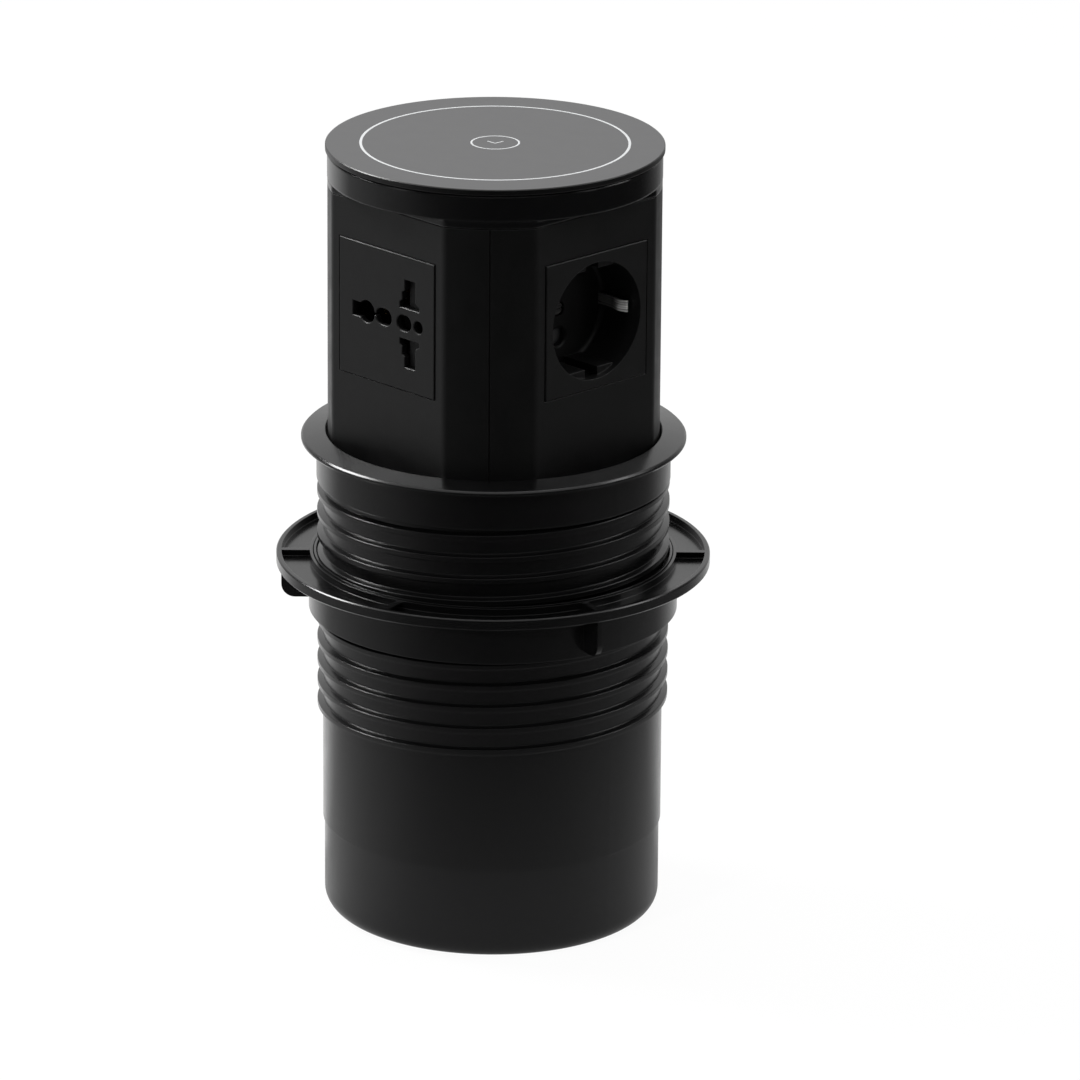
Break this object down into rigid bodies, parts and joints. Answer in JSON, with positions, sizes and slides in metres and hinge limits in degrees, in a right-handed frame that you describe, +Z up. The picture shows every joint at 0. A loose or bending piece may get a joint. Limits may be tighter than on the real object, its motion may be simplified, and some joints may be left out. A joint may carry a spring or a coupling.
{
  "type": "pop up desk socket",
  "caption": "Round tower that rises out of a desk hole, with square socket inserts in its flats, a charging lid, a flanged threaded sleeve and a clamp nut",
  "frame": {"origin": "centre of the underside of the base cup, which is the lowest face", "axes": "+Z runs up the axis of the tower; -Y is the side of the universal socket and +X the side of the round socket that the picture shows"},
  "size_m": [0.142, 0.142, 0.261],
  "materials": {
    "tower_plastic": "satin moulded black, slightly glossy",
    "insert_plastic": "satin moulded black",
    "sleeve_plastic": "polished moulded black",
    "nut_plastic": "polished moulded black",
    "lid_gloss": "high gloss black",
    "lid_disc": "smooth black with a faint sheen",
    "print_grey": "flat grey print",
    "inner_plastic": "moulded dark grey",
    "tongue_plastic": "moulded white",
    "gasket_rubber": "soft black foam rubber",
    "steel": "zinc plated steel",
    "bright_metal": "bright nickel plate",
    "strut_metal": "black painted steel tube",
    "contact_brass": "rolled brass",
    "coil_copper": "enamelled copper wire",
    "ferrite": "dark grey sintered sheet",
    "board_green": "green solder mask"
  },
  "bodies": {
    "housing": {"desk_sleeve": "sleeve_plastic", "stop_ring": "inner_plastic", "base_cup": "sleeve_plastic", "base_screws": "steel", "strut_cylinder": "strut_metal", "strut_pin": "steel", "strut_gland": "inner_plastic", "latch_housing": "inner_plastic", "latch_spring": "steel", "cable_gland": "inner_plastic", "gland_nut": "inner_plastic"},
    "tower": {"strut_rod": "bright_metal", "strut_nut": "steel", "tower_shell_front": "tower_plastic", "tower_shell_back": "tower_plastic", "tower_foot": "inner_plastic", "foot_screws": "steel", "top_frame": "inner_plastic", "tower_cap": "lid_gloss", "cap_screws": "steel", "disc_gasket": "gasket_rubber", "charging_disc": "lid_disc", "printed_marks": "print_grey", "charging_coil": "coil_copper", "ferrite_plate": "ferrite", "coil_tray": "inner_plastic", "charger_board": "board_green", "universal_face": "insert_plastic", "universal_housing": "inner_plastic", "universal_contacts": "contact_brass", "usb_face": "insert_plastic", "usb_port_shells": "steel", "usb_port_tongues": "tongue_plastic", "usb_board": "board_green", "usb_transformer": "ferrite", "usb_screws": "steel", "terminal_block": "inner_plastic", "terminal_screws": "steel", "socket_body_right": "insert_plastic", "earth_clip_right": "bright_metal", "contact_carrier_right": "inner_plastic", "pin_contacts_right": "contact_brass", "centre_screw_right": "bright_metal", "socket_body_rear": "insert_plastic", "earth_clip_rear": "bright_metal", "contact_carrier_rear": "inner_plastic", "pin_contacts_rear": "contact_brass", "centre_screw_rear": "bright_metal"},
    "latch": {"latch_plunger": "inner_plastic"},
    "spinner": {"clamp_nut": "nut_plastic"},
    "washer": {"slip_ring": "nut_plastic"},
    "shutter_right": {"socket_shutter_right": "inner_plastic"},
    "shutter_rear": {"socket_shutter_rear": "inner_plastic"},
    "shutter_universal": {"universal_shutter": "inner_plastic"}
  },
  "joints": [
    {"name": "tower_lift", "type": "slide", "parent": "housing", "child": "tower", "axis": [0, 0, 1], "range_m": [-0.0942, 0], "stiffness_N_per_m": 50, "springref_m": 0.2},
    {"name": "latch_press", "type": "slide", "parent": "housing", "child": "latch", "axis": [0, 0, 1], "range_m": [-0.005, 0], "stiffness_N_per_m": 200, "springref_m": 0.004, "deforming": ["latch_spring"]},
    {"name": "ring_travel", "type": "slide", "parent": "housing", "child": "washer", "axis": [0, 0, 1], "range_m": [-0.0331, 0.0258]},
    {"name": "nut_spin", "type": "hinge", "parent": "washer", "child": "spinner", "pos_m": [0, 0, 0.1129], "axis": [0, 0, 1], "range_deg": [-1620, 1260]},
    {"name": "shutter_right_turn", "type": "hinge", "parent": "tower", "child": "shutter_right", "pos_m": [0.02605, 0, 0.21185], "axis": [1, 0, 0], "range_deg": [0, 42], "stiffness_Nm_per_rad": 0.01, "springref_deg": -17.19},
    {"name": "shutter_rear_turn", "type": "hinge", "parent": "tower", "child": "shutter_rear", "pos_m": [0, 0.02605, 0.21185], "axis": [0, 1, 0], "range_deg": [0, 42], "stiffness_Nm_per_rad": 0.01, "springref_deg": -17.19},
    {"name": "shutter_universal_slide", "type": "slide", "parent": "tower", "child": "shutter_universal", "axis": [1, 0, 0], "range_m": [0, 0.0043], "stiffness_N_per_m": 100, "springref_m": -0.003}
  ],
  "couplings": [
    {"joint": "ring_travel", "follows": "nut_spin", "m_per_rad": 0.0011618}
  ]
}
